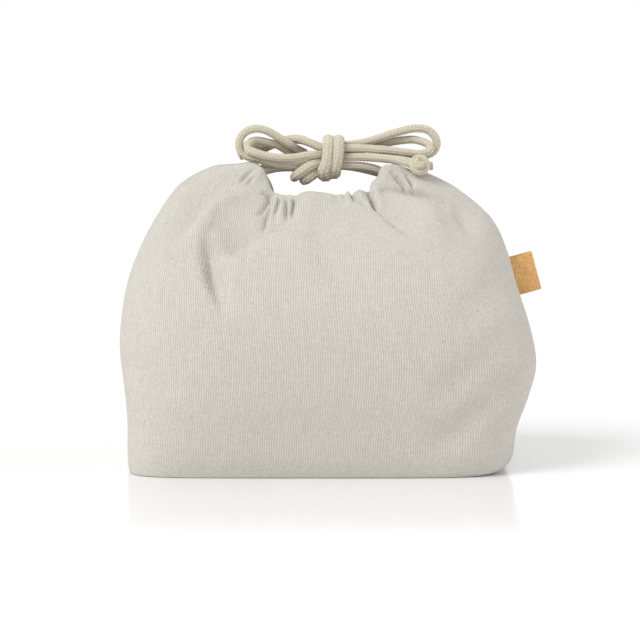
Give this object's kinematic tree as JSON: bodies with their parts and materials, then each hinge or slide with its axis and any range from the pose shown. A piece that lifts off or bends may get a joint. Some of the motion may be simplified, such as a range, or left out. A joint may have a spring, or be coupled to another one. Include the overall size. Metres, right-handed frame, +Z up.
{
  "type": "lunch bag",
  "caption": "Boxy lunch bag of undyed canvas with a flat base, a gathered mouth closed by braided drawcords tied in a bow, and a small plain side tab.",
  "frame": {"origin": "on the surface the bag stands on, under the middle of its box without the drawcords", "axes": "+X along the bag's width, towards the side with the tab; -Y towards the front; +Z up to the mouth"},
  "size_m": [0.2092, 0.1241, 0.1682],
  "materials": {
    "canvas": "coarse undyed cotton and linen canvas, matt",
    "cord": "round braided cotton cord, matt with a slight sheen",
    "tab": "cork-grained light brown strip, satin"
  },
  "bodies": {
    "root": {"front_panel": "canvas", "back_panel": "canvas", "base_panel": "canvas", "side_tab": "tab", "drawcord_left_a": "cord", "drawcord_left_b": "cord", "drawcord_right_a": "cord", "drawcord_right_b": "cord", "end_knot_left": "cord", "end_knot_right": "cord"}
  },
  "joints": []
}
